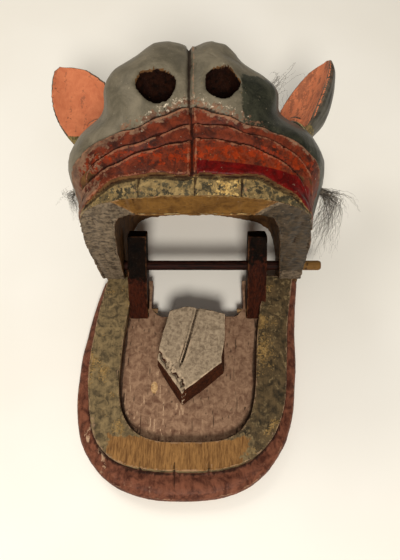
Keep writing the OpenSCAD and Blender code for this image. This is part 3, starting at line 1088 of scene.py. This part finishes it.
        tool = self.noise.at(p, (9.0, 9.0, 22.0), 2) * 0.45 + self.noise.at(p, 34.0, 2) * 0.9
        depth += tool * outer
        inner = 1.0 - outer
        gouge = np.abs(self.noise.at(p, (7.0, 26.0, 7.0), 2))
        depth += (0.9 - 2.0 * gouge) * inner * 0.7
        saw = self.noise.at(p, (14.0, 2.4, 14.0), 2)
        bite = bump_at(z, 0.0, 3.0) * smoothstep(0.4, 0.8, -normal[:, 2])
        depth += (0.22 * saw - self.bite_back) * bite
        crack = bump_at(x, -19.0 + 1.2 * np.sin(z * 0.5), 0.5) * smoothstep(62.0, 66.0, z)
        depth -= 1.6 * crack * smoothstep(80.0, 76.0, z) * front
        skin.push(depth, normal)
        low = smoothstep(60.0, 50.0, skin.points[:, 2] - self.bite)
        skin.chip(self.noise, 1.6, 6.5, (0.25, 1.1), 0.15, 0.2 + 0.8 * low)
        skin.relax(1)

    def dress(self, skin: Skin) -> None:
        """Lays out where each coat of paint is, and where sheen and shade are painted.

        Args:
            skin: The head's skin.
        """
        normal = skin.normals()
        x, angle, z = self.coordinates(skin.points)
        p = skin.points
        outer = self.outside(skin, normal)
        first = self.folds(angle)[0]
        gum = self.gum_line(angle)
        a = np.abs(angle)
        bite = smoothstep(0.35, 0.7, -normal[:, 2]) * smoothstep(6.0, 3.0, z)
        snout = smoothstep(-120.0, -150.0, p[:, 1])
        lip = smoothstep(2.0, -2.0, z - first) * smoothstep(-1.0, 1.0, z - gum)
        lip = lip * smoothstep(104.0, 84.0, a + 0.12 * z) * outer * (1 - bite)
        gold = smoothstep(1.0, -1.0, z - gum) * smoothstep(66.0, 46.0, a) * outer * (1 - bite)
        rest = outer * (1 - bite) * (1 - lip) * (1 - gold)
        skin.paint("inside", (1 - outer) * (1 - bite))
        skin.paint("bar", bite * smoothstep(34.0, 28.0, a))
        skin.paint("bite", bite * smoothstep(28.0, 36.0, a))
        # Painted shadow of the snout on the right cheek's bite face, darker towards the front.
        right_bite = bite * smoothstep(30.0, 38.0, angle)
        skin.paint("bite_snout_shadow", right_bite * (0.3 + 0.6 * smoothstep(0.0, -60.0, p[:, 1])))
        skin.paint("red", lip)
        left = smoothstep(6.0, -30.0, angle)
        strip = 0.14 + 0.42 * bump_at(z, 32.0, 14.0) - 0.12 * left
        skin.paint("orange", lip * smoothstep(74.0, 36.0, a) * strip)
        band = smoothstep(30.0, 27.0, z + 0.16 * a) * smoothstep(1.5, 3.5, x) * smoothstep(58.0, 44.0, a)
        skin.paint("deep_red", band * lip)
        # The black coat's lightened colours are a painted sheen over the whole dome.
        skin.paint("black", rest)
        # Painted shade: the dome's right side is made darker; the mask also rises towards the rear and in
        # random patches.
        dark = smoothstep(30.0, 44.0, x) * smoothstep(112.0, 96.0, z) + smoothstep(-175, -50, p[:, 1])
        dark = dark + 0.55 * self.noise.at(p, 34.0, 3) * smoothstep(-140, -110, p[:, 1])
        dusty = bump_at(z - first, 3.0, 7.0) * smoothstep(40.0, 20.0, a) * rest * snout
        skin.paint("green_black_and_shade", rest * (0.02 + 0.86 * np.clip(dark, 0, 1)))
        top = smoothstep(9.0, 2.0, first - z) * 0.4
        far = 0.5 * smoothstep(20.0, 52.0, -angle)
        skin.paint("dusty", lip * (0.16 + far + top) * (1 - band) + 0.55 * dusty)
        # Pale flecks below the nostrils: worn dust with a painted sheen of the glossy ridge.
        low = bump_at(z - first, 6.5, 4.0) * smoothstep(24.0, 8.0, np.abs(a - 5))
        skin.paint("fleck_and_sheen", rest * snout * 0.37 * low)
        brow = bump_at(np.abs(x), 82.0, 13.0) * bump_at(p[:, 1], -80.0, 18.0) * smoothstep(88.0, 98.0, z)
        skin.paint("gold", gold + 0.6 * brow * outer)
        edges = smoothstep(3.5, 0.5, np.minimum(np.abs(z - gum), np.abs(z)))
        skin.paint("gum_dark", gold * (0.46 - 0.3 * edges + 0.4 * smoothstep(26.0, 50.0, angle)))
        skin.paint("leaf", gold * (0.14 + 0.36 * bump_at(x, 24.0, 13.0) + 0.2 * edges))
        hole, rim = np.zeros(len(p)), np.zeros(len(p))
        inwards = smoothstep(0.35, -0.05, -normal[:, 1] - 0.25)
        for across, up in zip(self.nostril_x, self.nostril_z):
            rim = np.maximum(rim, smoothstep(25.0, 21.0, np.hypot(x - across - 2.0, z - up)))
            reach = np.hypot(x - across, z - up + 0.25 * (p[:, 1] + 195))
            hole = np.maximum(hole, smoothstep(20.5, 18.5, reach) * inwards)
        # Painted shade: the nostril bores are made near-black inside.
        skin.paint("nostril", hole * smoothstep(-112.0, -122.0, p[:, 1]))
        rubbed = (0.22 + 0.33 * lip * (1 - band) + 0.3 * gold) * (1 - 0.85 * rim * snout)
        # Painted highlight: a pale line rubbed along the ridge right of the middle groove.
        rubbed = rubbed + 0.6 * bump_at(x, 2.6, 1.6) * smoothstep(72.0, 84.0, z) * snout
        skin.wear(4, 0.1, rubbed)


# ---------------------------------------------------------------------------- the jaw


@dataclass
class Jaw:
    """The lower jaw's board: lip, gum band, mouth floor and throat notch.

    Attributes:
        front: The jaw's front, measured forwards from the rod.
        band_top: The gum band's height on the table.
        band_back: How far the band's top is drawn back, so that it clears the head.
        floor: The mouth floor's height.
        lip: The lip's height where the gum rises from it.
        tooth_lines: Where the gum is scored into teeth, across the bench.
        body: The body that the jaw rides on.
    """

    front: float = 200.0
    band_top: float = 32.0
    band_back: float = 1.3
    floor: float = 18.0
    lip: float = 20.0
    tooth_lines: tuple[float, ...] = (-49.5, -19.0, 12.5)
    body: str = "jaw"
    noise: Noise = field(default_factory=lambda: Noise(23))

    def build(self) -> Skin:
        """Carves and paints the jaw.

        Returns:
            The finished skin.
        """
        skin = Skin("jaw_board_carved", "jaw_board", Bench(Pose.JAW), grain=1.2, soften=5)
        height = skin.points[:, 2] + skin.bench.hinge[2]
        normal = skin.normals()
        p = skin.points
        up = smoothstep(0.55, 0.85, normal[:, 2])
        depth = self.noise.at(p, 30.0, 2) * 0.7 * smoothstep(1.5, 4.0, height)
        depth += self.noise.at(p, (4.0, 30.0, 5.0), 3) * 0.32 * up * smoothstep(2.0, 6.0, height)
        depth += self.noise.at(p, (14.0, 14.0, 5.0), 2) * 0.5 * (1 - up) * smoothstep(1.5, 5.0, height)
        depth -= self.band_back * up * smoothstep(self.lip + 6.0, self.band_top - 2.0, height)
        front = smoothstep(-self.front + 44, -self.front + 26, p[:, 1])
        for number, place in enumerate(self.tooth_lines):
            line = bump_at(p[:, 0], place + 0.03 * (p[:, 1] + self.front) * (number - 1), 0.8)
            wall = smoothstep(self.lip - 1, self.lip + 3, height)
            near = smoothstep(-self.front + 11, -self.front + 4, p[:, 1])
            depth -= 2.2 * line * wall * front * near
        cracks = np.abs(self.noise.at(p, (3.2, 55.0, 60.0), 2))
        low = smoothstep(self.floor + 3, self.floor + 1, height)
        depth -= 0.5 * smoothstep(0.05, 0.0, cracks) * up * low
        skin.push(depth, normal)
        around = np.degrees(np.arctan2(-(p[:, 0] + 5.0), -(p[:, 1] + 100.0)))
        out = np.stack([p[:, 0] + 5.0, p[:, 1] + 100.0, 0 * around], axis=-1)
        reach = np.linalg.norm(out, axis=1)
        wide = 7.0 * bump_at(around, 50.0, 26.0) * smoothstep(100.0, 111.0, reach)
        skin.push(wide, out / (reach[:, None] + 1e-6))
        skin.chip(self.noise, 1.5, 8.0, (0.15, 0.8), 0.1, smoothstep(2.0, 5.0, height))
        skin.relax(1)
        self.dress(skin)
        skin.finish(JAW_PAINT.material(), self.body, "jaw_paint")
        return skin

    def dress(self, skin: Skin) -> None:
        """Lays out where each coat of paint is, and the painted highlight on the left outer lip.

        Args:
            skin: The jaw's skin.
        """
        normal = skin.normals()
        p = skin.points
        height = p[:, 2] + skin.bench.hinge[2]
        up = smoothstep(0.3, 0.7, normal[:, 2])
        band = smoothstep(self.lip + 0.5, self.lip + 3.0, height)
        ragged = self.noise.at(p, 16.0, 3) * 16.0
        bare = smoothstep(-self.front + 37, -self.front + 27, p[:, 1] + 0.3 * ragged)
        bare = bare * smoothstep(74.0, 56.0, np.abs(p[:, 0] + 14.0) + ragged) * up
        inner = smoothstep(self.lip + 3, self.floor + 1, height) * up
        reach = np.abs(p[:, 0] + 3.0) ** 3 / 76.0**3 + np.maximum(-75.0 - p[:, 1], 0.0) ** 3 / 108.0**3
        inner = inner * smoothstep(1.1, 1.0, reach)
        skin.paint("floor", inner)
        skin.paint("band", band * (1 - 0.85 * bare) * (1 - inner))
        under = smoothstep(-0.5, -0.9, normal[:, 2])
        skin.paint("red", (1 - band) * (1 - inner) * (1 - 0.7 * under))
        right = smoothstep(0.0, 50.0, p[:, 0]) * band * (1 - inner) * (1 - bare)
        skin.paint("dark_band", right * 0.62)
        marks = smoothstep(0.22, 0.5, self.noise.at(p, (1.7, 8.0, 8.0), 2))
        front = smoothstep(-60.0, -150.0, p[:, 1]) * smoothstep(40.0, -30.0, p[:, 0]) * 0.5 + 0.35
        # Painted highlight: the top of the left outer lip is made pale with the dust coat.
        pale = (1 - band) * (1 - inner) * up * smoothstep(-50.0, -84.0, p[:, 0])
        pale = pale * (0.33 + 0.5 * self.noise.at(p, (4.0, 12.0, 12.0), 3))
        skin.paint("dust", inner * marks * front + pale)
        sides = 0.2 + 0.4 * smoothstep(0.0, 60.0, np.abs(p[:, 0]))
        glints = smoothstep(0.0, 0.6, self.noise.at(p, 18.0, 2)) * sides
        glints = glints + 0.6 * bump_at(p[:, 0], 67.0, 13.0) * bump_at(p[:, 1], -86.0, 24.0)
        skin.paint("gold", band * (1 - bare) * (1 - inner) * glints)
        scar = bump_at(p[:, 0], -40.0, 4.0) * bump_at(p[:, 1], -119.0, 7.0)
        skin.paint("scar", scar * inner)
        skin.wear(4, 0.15)


@dataclass
class Posts:
    """The two leaning posts that hang the jaw on the rod.

    Attributes:
        body: The body that they ride on.
    """

    body: str = "jaw"
    noise: Noise = field(default_factory=lambda: Noise(31))

    def build(self) -> list[Skin]:
        """Carves and paints the posts.

        Returns:
            The finished skins.
        """
        material = POST_PAINT.material()
        skins = []
        for name in ("jaw_post_left", "jaw_post_right"):
            skin = Skin(name + "_carved", name, Bench(Pose.JAW), grain=0.9, soften=4)
            normal = skin.normals()
            p = skin.points
            depth = self.noise.at(p, (6.0, 14.0, 20.0), 2) * 0.45 + self.noise.at(p, 18.0, 1) * 0.5
            away = np.hypot(p[:, 1], p[:, 2])
            depth *= smoothstep(6.5, 10.0, away)
            skin.push(depth, normal)
            lean = smoothstep(2.0, 34.0, p[:, 2])
            skin.points[:, 1] += 5.0 * lean
            skin.points[:, 2] -= 4.0 * lean
            skin.chip(self.noise, 1.4, 9.0, (0.2, 0.9), 0.0, smoothstep(6.5, 10.0, away), 2)
            height = skin.points[:, 2] + skin.bench.hinge[2]
            amount = 0.5 if name.endswith("right") else 1.0
            # Painted shadow of the head: darker higher up, half as strong on the right post.
            skin.paint("head_shadow", smoothstep(30.0, 72.0, height) * amount + 0.1)
            skin.wear(4, 0.2)
            skin.finish(material, self.body, "post_paint")
            skins.append(skin)
        return skins


@dataclass
class Tongue:
    """The pointed block on the mouth floor, greyed on top and split at its left corner.

    Attributes:
        body: The body that it rides on.
    """

    body: str = "jaw"
    noise: Noise = field(default_factory=lambda: Noise(41))

    def build(self) -> Skin:
        """Carves and paints the tongue.

        Returns:
            The finished skin.
        """
        skin = Skin("tongue_carved", "tongue", Bench(Pose.JAW), grain=0.75, soften=9)
        normal = skin.normals()
        p = skin.points
        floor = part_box("tongue")[0].z / MM - skin.bench.hinge[2]
        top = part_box("tongue")[1].z / MM - skin.bench.hinge[2]
        up = smoothstep(0.5, 0.85, normal[:, 2])
        depth = self.noise.at(p, (4.0, 12.0, 4.0), 3) * 0.5 * up
        depth += self.noise.at(p, (12.0, 12.0, 3.5), 2) * 0.55 * (1 - up)
        depth += self.noise.at(p, 16.0, 1) * 0.5
        side = p[:, 0] - 0.8 - 0.249 * (p[:, 1] + 50.0)
        long = smoothstep(-116.0, -98.0, p[:, 1]) * up
        depth -= 3.2 * smoothstep(-5.0, -1.0, side) * smoothstep(1.4, -0.4, side) * long
        depth += 0.9 * bump_at(side, 2.8, 1.6) * long
        near = (bump_at(side, 0.0, 4.0) * smoothstep(-84.0, -72.0, p[:, 1]) * up)[:, None]
        skin.push(depth, normal)
        for _ in range(10):
            skin.points += near * (skin.neighbour_mean(skin.points) - skin.points)
        high = smoothstep(floor + 3, top - 1, p[:, 2])
        front = smoothstep(-85.0, -120.0, p[:, 1])
        corner = smoothstep(8.0, 34.0, p[:, 0]) * smoothstep(-75.0, -100.0, p[:, 1])
        skin.points[:, 1] += (6.0 * high - 2.0) * front
        skin.points[:, 0] -= 3.5 * high * corner
        left, tip = (skin.points[np.argmin(skin.points[:, axis])] for axis in (0, 1))
        along = (tip - left)[:2] / np.linalg.norm((tip - left)[:2])
        inside = (skin.points[:, :2] - left[:2]) @ np.array([-along[1], along[0]])
        ragged = self.noise.at(skin.points, 9.0, 3) * 5.0
        split = smoothstep(9.0, 4.0, inside + ragged) * smoothstep(-76.0, -94.0, skin.points[:, 1])
        skin.points[:, 2] -= 6.0 * split * high
        skin.chip(self.noise, 1.9, 7.0, (0.2, 1.0), 0.0, smoothstep(floor + 2, floor + 6, p[:, 2]))
        skin.relax(1)
        normal = skin.normals()
        skin.paint("top", smoothstep(0.35, 0.7, normal[:, 2]))
        skin.wear(4, 0.2)
        skin.finish(TONGUE_PAINT.material(), self.body, "tongue_wood")
        return skin


# ---------------------------------------------------------------------------- small head pieces


@dataclass
class Ears:
    """The two leaf-shaped ears, red in their hollow faces and black behind.

    Attributes:
        turn: How far the right ear is turned inwards, in radians.
        body: The body that they ride on.
    """

    turn: float = math.radians(56)
    body: str = "head"
    noise: Noise = field(default_factory=lambda: Noise(53))

    def build(self) -> list[Skin]:
        """Carves and paints the ears.

        Returns:
            The finished skins.
        """
        material = EAR_PAINT.material()
        skins = []
        for name in ("ear_left", "ear_right"):
            skin = Skin(name + "_carved", name, Bench(Pose.HEAD), grain=0.95, soften=6)
            normal = skin.normals()
            p = skin.points
            turn = self.turn if name.endswith("right") else 0.0
            front = -np.array((math.sin(turn), math.cos(turn), 0.0))
            foot, top = p[:, 2].min(), p[:, 2].max()
            swell = smoothstep(foot + 20.0, foot + 45.0, p[:, 2])
            swell = swell * smoothstep(top - 2.0, top - 26.0, p[:, 2])
            swell = 4.0 * swell * smoothstep(0.1, -0.7, normal @ front) * (1.0 if turn else 0.0)
            skin.push(self.noise.at(p, (12.0, 12.0, 24.0), 2) * 0.5 + swell, normal)
            skin.points[:, 2] -= 0.5 * np.maximum(skin.points[:, 2] - top + 9.0, 0.0)
            normal = skin.normals()
            p = skin.points
            facing = normal @ front
            rim = skin.proudness(5)
            face = smoothstep(0.1, 0.4, facing) * smoothstep(0.4, 0.15, rim)
            skin.paint("face", face)
            streaks = self.noise.at(p, (3.5, 3.5, 30.0), 3)
            # Scuff streaks on the face; the right ear's heavier share is painted shade.
            skin.paint("scuff_and_shade", face * (0.5 * streaks + (0.46 if turn else 0.28)))
            skin.paint("back", 1 - face)
            skin.paint("foot", smoothstep(foot + 26.0, foot + 20.0, p[:, 2]))
            skin.wear(4, 0.4)
            skin.finish(material, self.body, "ear_paint")
            skins.append(skin)
        return skins


@dataclass
class Eyes:
    """The two domed eyes, each with a carved ring.

    Attributes:
        ring: The ring's radius, in millimetres.
        pupil: The pupil's radius.
        lean: How far each eye faces outwards, in radians.
        body: The body that they ride on.
    """

    ring: float = 10.5
    pupil: float = 5.0
    lean: float = math.radians(52)
    body: str = "head"

    def build(self) -> list[Skin]:
        """Carves and paints the eyes.

        Returns:
            The finished skins.
        """
        material = EYE_PAINT.material()
        skins = []
        for name in ("eye_left", "eye_right"):
            skin = Skin(name + "_carved", name, Bench(Pose.HEAD), grain=0.55, soften=3)
            low, high = (np.array(c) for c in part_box(name))
            middle = skin.bench.from_part((low + high) / 2)
            side = -1.0 if name.endswith("left") else 1.0
            axis = np.array([side * math.sin(self.lean), 0.0, math.cos(self.lean)])
            rel = skin.points - middle
            along = rel @ axis
            reach = np.linalg.norm(rel - along[:, None] * axis, axis=1)
            up = smoothstep(-3.0, 0.0, along)
            depth = -1.1 * bump_at(reach, self.ring - 1.8, 0.7) - 0.6 * bump_at(reach, self.pupil, 0.6)
            skin.push(depth * up, skin.normals())
            skin.paint("white", np.ones(len(up)))
            skin.paint("ring", bump_at(reach, self.ring, 1.6) * up)
            skin.paint("pupil", smoothstep(self.pupil + 0.4, self.pupil - 0.4, reach) * up)
            skin.wear(4, 0.1)
            skin.finish(material, self.body, "eye_paint")
            skins.append(skin)
        return skins


@dataclass
class Rod:
    """The whittled stick that the jaw hangs on.

    Attributes:
        flats: How many flats the knife left round it.
        rings: How many cuts there are along it.
        slim: How thick it is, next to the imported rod, so that it clears the posts.
        body: The body that it rides on.
    """

    flats: int = 9
    rings: int = 90
    slim: float = 0.975
    body: str = "head"

    def build(self) -> bpy.types.Object:
        """Whittles and finishes the rod.

        Returns:
            The rod.
        """
        low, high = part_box("hinge_rod")
        radius = (high.z - low.z) / 2
        centre = (low + high) / 2
        noise = Noise(61)
        around = self.flats * 6
        step = 2 * math.pi / self.flats
        verts, faces, ends = [], [], []
        for i in range(self.rings + 1):
            t = i / self.rings
            x = low.x + (high.x - low.x) * t
            shrink = 1.0 - 0.22 * max(0.0, (abs(t - 0.5) * 2 - 0.985) / 0.015)
            for k in range(around):
                turn = 2 * math.pi * k / around
                flat = math.cos(step / 2) / math.cos(turn % step - step / 2)
                probe = np.array([[x / MM, 9 * math.cos(turn), 9 * math.sin(turn)]])
                rough = 0.035 * float(noise.at(probe, (16.0, 5.0, 5.0), 2)[0]) - 0.035
                r = radius * shrink * (0.35 + 0.65 * flat + rough) * self.slim
                verts.append((x, centre.y + r * math.cos(turn), centre.z + r * math.sin(turn)))
                ends.append(max(0.0, min(1.0, (t - 0.90) / 0.03)))
        for i in range(self.rings):
            for k in range(around):
                a, b = i * around + k, i * around + (k + 1) % around
                faces.append((a, b, b + around, a + around))
        faces.append(tuple(range(around - 1, -1, -1)))
        faces.append(tuple(self.rings * around + k for k in range(around)))
        mesh = bpy.data.meshes.new("hinge_rod_whittled")
        mesh.from_pydata(verts, [], faces)
        layer = mesh.attributes.new("end", "FLOAT", "POINT")
        layer.data.foreach_set("value", np.array(ends, np.float32))
        for polygon in mesh.polygons:
            polygon.use_smooth = len(polygon.vertices) == 4
        rod = placed("hinge_rod_whittled", mesh)
        mesh.materials.append(ROD_WOOD.material())
        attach(rod, self.body)
        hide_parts("hinge_rod")
        LOG.info("%s: %d points", rod.name, len(verts))
        return rod


@dataclass(frozen=True)
class Tuft:
    """A bundle of hair that grows out of a plug and falls.

    Attributes:
        name: The piece's name.
        node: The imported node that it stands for.
        root: Where it leaves the plug, in millimetres in the part.
        out: The way that it leaves, and how far it goes that way.
        fall: The way that it falls, and how far.
        strands: How many hairs it has.
        spread: How far apart the hairs' ends are.
        stray: How many of them stand off the bundle.
        seed: Which of the fixed patterns it follows.
        thickness: How thick a hair is, in millimetres.
        steps: How many points bend each hair.
        past_low: How far hair may pass the part's lower corner, in millimetres.
        past_high: How far hair may pass the upper one.
    """

    name: str
    node: str
    root: tuple[float, float, float]
    out: tuple[float, float, float]
    fall: tuple[float, float, float]
    strands: int
    spread: float
    stray: int
    seed: int
    thickness: float = 0.32
    steps: int = 22
    past_low: float = 8.0
    past_high: float = 12.0

    def build(self, material: bpy.types.Material, body: str) -> bpy.types.Object:
        """Grows the bundle.

        Args:
            material: The hair's finish.
            body: The body that it rides on.

        Returns:
            The bundle.
        """
        rng = np.random.default_rng(self.seed)
        curve = bpy.data.curves.new(self.name, "CURVE")
        curve.dimensions = "3D"
        curve.bevel_depth = self.thickness / 2 * MM
        curve.bevel_resolution = 1
        curve.resolution_u = 1
        root, out, fall = (np.array(v, float) for v in (self.root, self.out, self.fall))
        low = np.array(CAD_BOX[0]) / MM - self.past_low
        high = np.array(CAD_BOX[1]) / MM + self.past_high
        for number in range(self.strands):
            loose = number < self.stray
            t = np.linspace(0.0, 1.0, self.steps)[:, None]
            start = root + rng.normal(0, 1.6, 3)
            reach = out * rng.uniform(0.55, 1.2) * (1.25 if loose else 1.0) + rng.normal(0, 2.0, 3)
            drop = fall * rng.uniform(0.55, 1.05) * (0.25 if loose else 1.0)
            aside = rng.normal(0, self.spread * (1.8 if loose else 1.0), 3)
            path = start + reach * np.sin(np.minimum(t * 1.7, 1.0) * math.pi / 2)
            path = path + drop * t**1.6 + aside * t**1.5
            path = path - reach * 0.55 * np.maximum(t - 0.5, 0) * (0 if loose else 1)
            waves = rng.uniform(4, 9, 3)
            phase = rng.uniform(0, 2 * math.pi, 3)
            path = path + np.sin(t * waves * 2 * math.pi + phase) * rng.uniform(0.6, 2.1) * np.sqrt(t)
            path = np.clip(path, low, high)
            spline = curve.splines.new("POLY")
            spline.points.add(self.steps - 1)
            flat = np.concatenate([path * MM, np.ones((self.steps, 1))], axis=1)
            spline.points.foreach_set("co", flat.astype(np.float32).ravel())
            radii = np.linspace(1.0, 0.35, self.steps) * rng.uniform(0.6, 1.1)
            spline.points.foreach_set("radius", radii.astype(np.float32))
        tuft = placed(self.name, curve)
        curve.materials.append(material)
        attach(tuft, body)
        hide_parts(self.node)
        LOG.info("%s: %d strands", self.name, self.strands)
        return tuft


@dataclass
class Tufts:
    """The hair at both cheeks and on the crown."""

    body: str = "head"

    def build(self) -> list[bpy.types.Object]:
        """Grows all the hair.

        Returns:
            The bundles.
        """
        material = HAIR.material()
        bundles = []
        for node, out, fall, strands, spread, stray, seed in (
            ("cheek_tuft_right", (17, -3, 6), (-4, -22, -72), 150, 6.5, 26, 7),
            ("cheek_tuft_left", (-8, -2, 4), (3, -12, -30), 60, 4.0, 14, 8),
            ("crown_tuft", (44, 50, 18), (4, 4, -8), 56, 8.0, 8, 9),
        ):
            root = self.root_of(node)
            tuft = Tuft(node + "_strands", node, root, out, fall, strands, spread, stray, seed)
            bundles.append(tuft.build(material, self.body))
        return bundles

    def root_of(self, node: str) -> tuple[float, float, float]:
        """Where a bundle leaves its plug.

        Args:
            node: The bundle's node.

        Returns:
            The middle of the plug's outer end, in millimetres.
        """
        low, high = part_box(node.replace("tuft", "plug"))
        middle = (low + high) / 2 / MM
        if node.startswith("crown"):
            return (middle.x, high.y / MM - 3.0, middle.z)
        x = high.x if node.endswith("right") else low.x
        return (x / MM, middle.y, middle.z)


@dataclass
class Pegs:
    """The pegs and plugs that stay as they were packed, in bare wood."""

    pegs: tuple[str, ...] = (
        "ear_peg_left", "ear_peg_right", "post_peg_left", "post_peg_right", "tongue_pegs",
    )
    plugs: tuple[str, ...] = ("cheek_plug_left", "cheek_plug_right", "crown_plug")

    def dress(self) -> None:
        """Gives every peg and plug its finish."""
        for names, finish in ((self.pegs, PEG_WOOD), (self.plugs, PLUG_WOOD)):
            material = finish.material()
            for name in names:
                data = frame["nodes"][name].data
                data.materials.clear()
                data.materials.append(material)
                LOG.info("%s: dressed", name)


# ---------------------------------------------------------------------------- the studio


@dataclass
class Studio:
    """The floor, the light and the camera.

    Attributes:
        eye: The camera's place, in metres.
        tilt: How far the camera looks below the horizon, in degrees.
        lens: Its focal length, for a sensor 36 mm high.
        sky: The colour of the light from all round.
        sky_strength: How bright that light is.
        pale: The floor's pale patches.
        dull: The floor's duller patches.
    """

    eye: tuple[float, float, float] = (0.0045, -0.2675, 0.6076)
    tilt: float = 64.1
    lens: float = 39.86
    sky: Colour = (1.0, 0.95, 0.88)
    sky_strength: float = 0.34
    pale: Colour = (0.94, 0.915, 0.855)
    dull: Colour = (0.89, 0.86, 0.79)

    def build(self) -> None:
        """Sets up the camera, the floor and the lights."""
        data = bpy.data.cameras.new("camera")
        data.sensor_fit = "AUTO"
        data.sensor_width = 36.0
        data.lens = self.lens
        data.clip_start = 0.01
        camera = placed("camera", data)
        camera.location = self.eye
        camera.rotation_euler = (math.radians(90 - self.tilt), 0.0, 0.0)
        bpy.context.scene.camera = camera
        self.floor()
        self.light("front", (0.03, -1.12, 1.30), 0.42, 22.0, (1.0, 0.955, 0.88))
        self.light("side", (-0.75, 0.75, 1.25), 0.8, 7.5, (1.0, 0.95, 0.86))
        world = bpy.data.worlds.new("studio")
        world.use_nodes = True
        sky = world.node_tree.nodes["Background"]
        sky.inputs["Color"].default_value = (*self.sky, 1.0)
        sky.inputs["Strength"].default_value = self.sky_strength
        bpy.context.scene.world = world
        bpy.context.scene.view_settings.view_transform = "Standard"

    def floor(self) -> None:
        """Lays the pale floor."""
        mesh = bpy.data.meshes.new("floor")
        size, level = 4.0, -0.0006
        corners = [(-size, -size, level), (size, -size, level), (size, size, level), (-size, size, level)]
        mesh.from_pydata(corners, [], [(0, 1, 2, 3)])
        floor = placed("floor", mesh)
        n = Nodes("floor_paper")
        cloud = n.noise(300.0, 3.0, 0.5)
        paper = n.mix(n.ramp(cloud, 0.35, 0.65), self.dull, self.pale)
        n.join(paper, n.shader.inputs["Base Color"])
        n.join(n.bump(n.noise(1.5, 3.0, 0.5), 0.05, 0.2), n.shader.inputs["Normal"])
        n.shader.inputs["Roughness"].default_value = 0.7
        mesh.materials.append(n.material)

    def light(self, name: str, place: Sequence[float], size: float, power: float, colour: Colour) -> None:
        """Hangs one soft light that faces the object.

        Args:
            name: The light's name.
            place: Where it hangs, in metres.
            size: How wide it is.
            power: How bright it is, in watts.
            colour: Its colour.
        """
        data = bpy.data.lights.new(name, "AREA")
        data.shape = "DISK"
        data.size = size
        data.energy = power
        data.color = colour
        lamp = placed(name, data)
        lamp.location = place
        lamp.rotation_euler = (Vector((0.0, 0.0, 0.1)) - Vector(place)).to_track_quat("-Z", "Y").to_euler()


def main() -> None:
    """Builds the mask piece by piece."""
    logging.basicConfig(level=logging.INFO, format="%(name)s %(message)s")
    Studio().build()
    Head().build()
    Jaw().build()
    Posts().build()
    Tongue().build()
    Ears().build()
    Eyes().build()
    Rod().build()
    Tufts().build()
    Pegs().dress()


if __name__ == "__main__":
    main()
